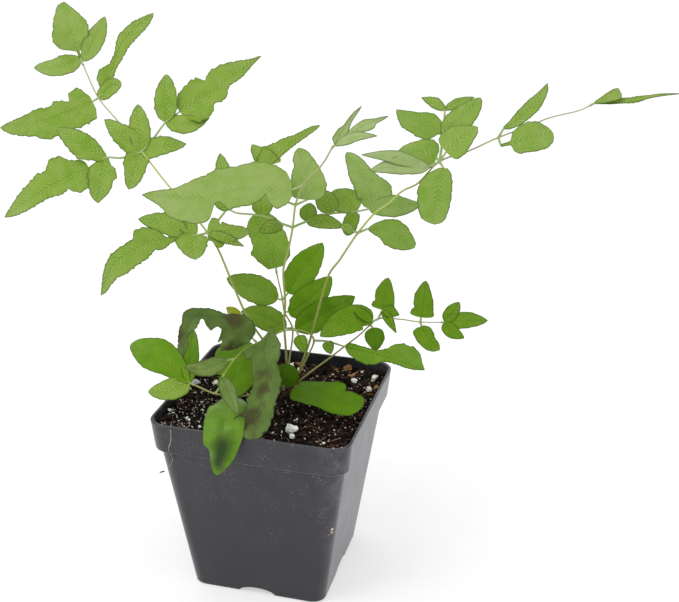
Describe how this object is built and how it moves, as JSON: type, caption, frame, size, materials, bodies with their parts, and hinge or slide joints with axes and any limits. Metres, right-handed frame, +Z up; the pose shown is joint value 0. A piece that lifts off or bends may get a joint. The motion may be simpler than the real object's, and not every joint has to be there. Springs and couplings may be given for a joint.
{
  "type": "potted fern",
  "caption": "Young fern with broad, stalked leaflets on thin arching fronds, growing from a woody crown in a small square tapered nursery pot filled with potting mix.",
  "frame": {"origin": "middle of the pot's flat underside, on the surface that it stands on", "axes": "+Z up out of the pot; -Y out of the pot's front face, the one that the picture looks at; +X to the right seen from the front"},
  "size_m": [0.3773, 0.179, 0.2973],
  "materials": {
    "pot_plastic": "satin",
    "potting_mix": "matte",
    "crown_wood": "matte",
    "stem": "satin",
    "leaf": "satin",
    "wilted_leaf": "matte"
  },
  "bodies": {
    "root": {"pot": "pot_plastic", "potting_mix": "potting_mix", "crown": "crown_wood", "crown_low_leaflet": "leaf", "crown_upright_leaflet": "leaf", "front_frond_broad_leaflet": "leaf", "front_frond_end_leaflets": "leaf", "front_frond_rim_leaflet": "leaf", "front_frond_stem": "stem", "left_frond_end_leaflets": "leaf", "left_frond_high_inner_spray": "leaf", "left_frond_high_outer_spray": "leaf", "left_frond_low_inner_spray": "leaf", "left_frond_low_outer_spray": "leaf", "left_frond_stem": "stem", "left_frond_stem_leaflet": "leaf", "left_frond_top_inner_leaflet": "leaf", "left_frond_top_outer_leaflet": "leaf", "middle_frond_end_leaflets": "leaf", "middle_frond_inner_spray": "leaf", "middle_frond_long_leaflet": "leaf", "middle_frond_outer_spray": "leaf", "middle_frond_short_leaflet": "leaf", "middle_frond_stem": "stem", "middle_frond_upright_leaflet": "leaf", "old_frond_arched_leaflet": "wilted_leaf", "old_frond_curled_leaflet": "wilted_leaf", "old_frond_hanging_leaflet": "wilted_leaf", "old_frond_narrow_leaflet": "wilted_leaf", "old_frond_right_spray": "leaf", "old_frond_small_leaflet": "leaf", "old_frond_stem": "stem", "right_frond_end_leaflets": "leaf", "right_frond_hanging_leaflet": "leaf", "right_frond_inner_leaflets": "leaf", "right_frond_left_leaflet": "leaf", "right_frond_low_leaflet": "leaf", "right_frond_outer_high_leaflet": "leaf", "right_frond_outer_low_leaflet": "leaf", "right_frond_right_leaflet": "leaf", "right_frond_small_leaflet": "leaf", "right_frond_stem": "stem", "right_frond_upper_spray": "leaf", "short_frond_end_leaflet": "leaf", "short_frond_high_left_leaflet": "leaf", "short_frond_high_right_leaflet": "leaf", "short_frond_low_left_leaflet": "leaf", "short_frond_low_right_leaflet": "leaf", "short_frond_middle_right_leaflet": "leaf", "short_frond_stem": "stem", "side_frond_back_leaflets": "leaf", "side_frond_eared_leaflets": "leaf", "side_frond_end_leaflets": "leaf", "side_frond_high_leaflet": "leaf", "side_frond_low_leaflet": "leaf", "side_frond_stem": "stem", "side_frond_under_leaflet": "leaf"}
  },
  "joints": []
}
